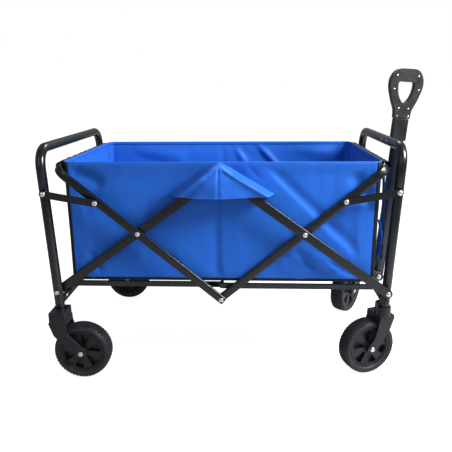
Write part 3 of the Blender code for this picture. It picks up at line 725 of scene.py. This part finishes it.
# %% Sew the end sleeves
def sleeve(name, end):
    bar_x, bar_z, radius = 0.4080, 0.5458, 0.0118
    hook = [(0.3968, 0.5592), (0.4000, 0.5586)]
    for degrees in range(-28, 205, 16):
        a = math.radians(degrees)
        hook.append((bar_x + radius * math.sin(a), bar_z + radius * math.cos(a)))
    hook += [(0.4000, 0.5312), (0.3968, 0.5260)]
    points, flat = [], []
    for c in range(61):
        y = -0.2140 + 0.4280 * c / 60
        gather = 0.0012 * noise.noise(Vector((y * 55, end * 4, 1))) + 0.0006 * math.sin(y * 130)
        run = 0.0
        for n, (x, z) in enumerate(hook):
            swell = 1 + gather / radius * ease(n / 4) * ease((len(hook) - 1 - n) / 4)
            swollen_x, swollen_z = bar_x + (x - bar_x) * swell, bar_z + (z - bar_z) * swell
            points.append((end * swollen_x + SHIFT, y, swollen_z + LIFT))
            run += 0.004
            flat.append((y, run))
    made = piece_from(name, points, grid_faces(61, len(hook)), "rear_frame", black_cloth, flat)
    folds_up(thicken(made, 0.0010))
    return made


sleeves = [sleeve("end_sleeve_rear", -1), sleeve("end_sleeve_front", 1)]
print("sleeves:", [s.name for s in sleeves])

# %% [markdown]
# ## Strap and buckle at the front
# A short webbing strap hangs from the front sleeve beside the leg. It ends in a moulded snap
# buckle, and a loose tab of blue cloth hangs next to it. They ride on the front frame, because
# their length is set by it and not by the tub.

# %% Hang the strap, its buckle and the cloth tab
def strip(name, line, low_y, high_y, look, thick, steps=9, curl=0.0):
    """A strip of cloth: its middle follows (x, z) points, and it runs in y from low to high."""
    points, flat, run = [], [], 0.0
    for n, (x, z) in enumerate(line):
        if n:
            run += math.hypot(x - line[n - 1][0], z - line[n - 1][1])
        for c in range(steps):
            y = low_y + (high_y - low_y) * c / (steps - 1)
            bend = curl * math.sin(math.pi * c / (steps - 1))
            bend += 0.0006 * noise.noise(Vector((x * 60, y * 90, z * 60)))
            points.append((x + SHIFT + bend, y, z + LIFT))
            flat.append((y, run))
    made = piece_from(name, points, grid_faces(len(line), steps), "front_frame", look, flat)
    return thicken(made, thick), run


def smooth_line(knots, steps=6):
    """Catmull-Rom points through the knots."""
    ends = [knots[0], *knots, knots[-1]]
    line = []
    for a, b, c, d in zip(ends, ends[1:], ends[2:], ends[3:]):
        for n in range(steps):
            t = n / steps
            line.append(tuple(0.5 * (2 * q + (r - p) * t + (2 * p - 5 * q + 4 * r - s) * t * t
                                     + (3 * q - p - 3 * r + s) * t ** 3)
                              for p, q, r, s in zip(a, b, c, d)))
    return line + [knots[-1]]


strap_line = [(0.4075, 0.5290), (0.4095, 0.4900), (0.4120, 0.4340), (0.4165, 0.3900), (0.4150, 0.3440)]
strap, strap_run = strip("front_strap", smooth_line(strap_line), -0.2060, -0.1860, webbing, 0.0014)
tab_line = [(0.4030, 0.4040), (0.4060, 0.3880), (0.4110, 0.3600), (0.4085, 0.3300), (0.4055, 0.3030)]
tab, tab_run = strip("blue_tab", smooth_line(tab_line), -0.2100, -0.1880, blue_cloth, 0.0008, curl=0.0030)
outline = [(-0.0125, 0.000), (0.0125, 0.000), (0.0130, 0.010), (0.0112, 0.0165), (0.0112, 0.0265),
           (0.0130, 0.0330), (0.0125, 0.0440), (-0.0125, 0.0440), (-0.0130, 0.0330), (-0.0112, 0.0265),
           (-0.0112, 0.0165), (-0.0130, 0.010)]
points = [(0.4140 + dx + SHIFT, -0.1960 + y, 0.3010 + z + LIFT)
          for dx in (-0.0032, 0.0032) for y, z in outline]
count = len(outline)
faces = [tuple(range(count)), tuple(reversed(range(count, 2 * count)))]
faces += [((n + 1) % count, n, n + count, (n + 1) % count + count) for n in range(count)]
buckle = piece_from("snap_buckle", points, faces, "front_frame", plastic)
round_edges(buckle, 0.0012, 3)
print("strap", round(strap_run, 3), "m, tab", round(tab_run, 3), "m")

# %% [markdown]
# ## Bright rivet heads
# The links, the top of the front bow and the grip show small bright heads. Each is a low dome
# turned from five points, set on the surface with its axis along the rivet.

# %% Set the rivet heads
def dome(points, faces, centre, axis, radius, height, steps=18):
    axis = Vector(axis).normalized()
    side = axis.orthogonal().normalized()
    other = axis.cross(side)
    start = len(points)
    profile = [(1.0, -0.35), (1.0, 0.10), (0.90, 0.42), (0.66, 0.74), (0.34, 0.94)]
    for share, rise in profile:
        for n in range(steps):
            a = 2 * math.pi * n / steps
            sideways = (side * math.cos(a) + other * math.sin(a)) * radius * share
            points.append(Vector(centre) + sideways + axis * height * rise)
    points.append(Vector(centre) + axis * height)
    faces += [tuple(start + k for k in quad) for quad in grid_faces(len(profile), steps, wrap=True)]
    top = start + len(profile) * steps
    faces += [(top - steps + n, top - steps + (n + 1) % steps, top) for n in range(steps)]


def heads(name, body, places, radius, height):
    """places is a list of (centre, axis) in the row frame."""
    points, faces = [], []
    for centre, axis in places:
        dome(points, faces, centre, axis, radius, height)
    piece_from(name, points, faces, body, zinc)


LEG_PIN, LOOP_PIN = (0.43677, 0.4859), (0.3089, 0.4629)
for end, sign, face in (("rear", -1, 0.2757), ("front", 1, 0.2507)):
    places = [((sign * x + SHIFT, side * face, z + LIFT), (0, side, 0))
              for x, z in (LEG_PIN, LOOP_PIN) for side in (-1, 1)]
    heads(f"{end}_link_heads", f"{end}_links", places, 0.0066, 0.0032)
places = [((0.4300 + SHIFT, y, 0.5965 + LIFT), (-0.9, 0, 0.3)) for y in (-0.060, -0.106)]
heads("bow_heads", "front_frame", places, 0.0032, 0.0016)
lean = math.radians(4.1)               # of the handle, forwards from upright
across, along = Vector((math.cos(lean), 0, -math.sin(lean))), Vector((math.sin(lean), 0, math.cos(lean)))
hinge = Vector((0.4590 + SHIFT, 0, 0.1830 + LIFT))
# half the distance between the two screws of a pair, and the pair's height along the handle
pairs = [(0.0290, 0.5800), (0.0330, 0.5440), (0.0130, 0.4930), (0.0150, 0.4720)]
places = [(hinge + across * x + along * u + Vector((0, side * 0.01495, 0)), (0, side, 0))
          for side in (-1, 1) for half, u in pairs for x in (-half, half)]
heads("grip_screws", "handle_upper", places, 0.0021, 0.0009)
print("rivet heads on links, bow and grip")

# %% [markdown]
# ## Folding floor mat
# A stiffened mat lies in the tub. It folds in four, so it has four crowned panels with a sewn
# channel between neighbours. A closed grid, top and bottom, gives the panels, and a band of faces
# closes the edge.

# %% Make the mat
low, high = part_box("floor_mat")
nx, ny = 113, 49
points, flat = [], []
for layer in (1, -1):
    for j in range(ny):
        for i in range(nx):
            u, v = i / (nx - 1), j / (ny - 1)
            x = low[0] + 0.001 + u * (high[0] - low[0] - 0.002)
            y = low[1] + 0.001 + v * (high[1] - low[1] - 0.002)
            panel = abs(math.sin(4 * math.pi * u)) ** 0.28 * (math.sin(math.pi * v)) ** 0.22
            thick = 0.0022 + 0.0046 * panel + 0.0005 * noise.noise(Vector((x * 22, y * 22, layer))) * panel
            z = low[2] + 0.0030 + thick + 0.0006 if layer > 0 else low[2] + 0.0030 - min(0.0026, thick)
            points.append((x, y, z))
            flat.append((x, y))
top = grid_faces(ny, nx)
offset = nx * ny
under = [tuple(offset + i for i in reversed(f)) for f in top]
edge = [j * nx for j in reversed(range(ny))] + list(range(nx))
edge += [j * nx + nx - 1 for j in range(ny)] + [(ny - 1) * nx + i for i in reversed(range(nx))]
loop = [k for n, k in enumerate(edge) if k != edge[n - 1]]
rim_faces = [(loop[n - 1] + offset, loop[n] + offset, loop[n], loop[n - 1]) for n in range(len(loop))]
mat = piece_from("folding_mat", points, top + under + rim_faces, "rear_frame", blue_cloth, flat)
folds_up(mat)
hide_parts("floor_mat")
print("mat", [round(v, 3) for v in high - low])

# %% [markdown]
# ## Tyre tread
# The tyre's tread is a band of small six-sided blocks in staggered rows. The carcass is turned
# from a section, and the blocks stand up to 1.6 mm above it. Each wheel's axle is found from the CAD
# tyre itself: a tyre is thinnest along its axle, so that is the direction of least spread.

# %% Find an axle and cut a tyre
WHEEL_R = 0.0745


def axle_of(node):
    """The middle of a wheel and the direction of its axle."""
    points = np.array([v.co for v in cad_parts[node].data.vertices])
    spread = points - points.mean(0)
    axle = np.linalg.eigh(spread.T @ spread)[1][:, 0]
    return Vector(points.mean(0)[:2].tolist() + [WHEEL_R]), Vector(axle * (1 if axle[1] > 0 else -1))


# radius and distance from the wheel's middle plane
CARCASS = [(0.0567, 0.0180), (0.0590, 0.0206), (0.0625, 0.0224), (0.0660, 0.0226), (0.0688, 0.0216),
           (0.0707, 0.0192), (0.0718, 0.0160), (0.0725, 0.0110), (0.0728, 0.0055), (0.0729, 0.0)]
CARCASS += [(r, -w) for r, w in reversed(CARCASS[:-1])]


def crown(w):
    """Radius of the carcass this far from its middle."""
    widths, radii = zip(*sorted((w, r) for r, w in CARCASS if r > 0.0686))
    return float(np.interp(w, widths, radii))


def treaded_tyre(name, node, body):
    centre, axle = axle_of(node)
    across = axle.cross(Vector((0, 0, 1))).normalized()
    rise = across.cross(axle)

    def spot(radius, width, angle):
        return centre + axle * width + (across * math.cos(angle) + rise * math.sin(angle)) * radius

    turns, points = 96, []
    for n in range(turns):
        points += [spot(r, w, 2 * math.pi * n / turns) for r, w in CARCASS]
    wide = len(CARCASS)
    faces = []
    for n in range(turns):
        here, there = n * wide, ((n + 1) % turns) * wide
        faces += [(here + k, here + k + 1, there + k + 1, there + k) for k in range(wide - 1)]
    for row, w in enumerate((-0.0180, -0.0120, -0.0060, 0.0, 0.0060, 0.0120, 0.0180)):
        for n in range(48):
            middle = 2 * math.pi * (n + 0.5 * (row % 2)) / 48
            start = len(points)
            for lift, size in ((-0.0004, 1.0), (0.0015, 0.78)):
                for k in range(6):
                    a = math.radians(60 * k + 30)
                    side = w + 0.0036 * size * math.sin(a)
                    height = min(WHEEL_R, crown(side) + lift + 0.0001)
                    points.append(spot(height, side, middle + 0.0042 * size * math.cos(a) / 0.0725))
            faces += [tuple(start + k for k in quad) for quad in grid_faces(2, 6, wrap=True)]
            faces.append(tuple(start + 6 + k for k in range(6)))
    made = piece_from(name, points, faces, body, rubber)
    bm = bmesh.new()
    bm.from_mesh(made.data)
    bmesh.ops.recalc_face_normals(bm, faces=bm.faces)
    bm.to_mesh(made.data)
    bm.free()
    split = made.modifiers.new("block_edges", "EDGE_SPLIT")
    split.split_angle = math.radians(28)
    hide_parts(node)


for end in ("rear", "front"):
    for side in ("near", "far"):
        treaded_tyre(f"tyre_{end}_{side}", f"{end}_{side}_tyre", f"{end}_wheel_{side}")
print("four tyres with 336 blocks each")

# %% Finish
bpy.context.view_layer.update()
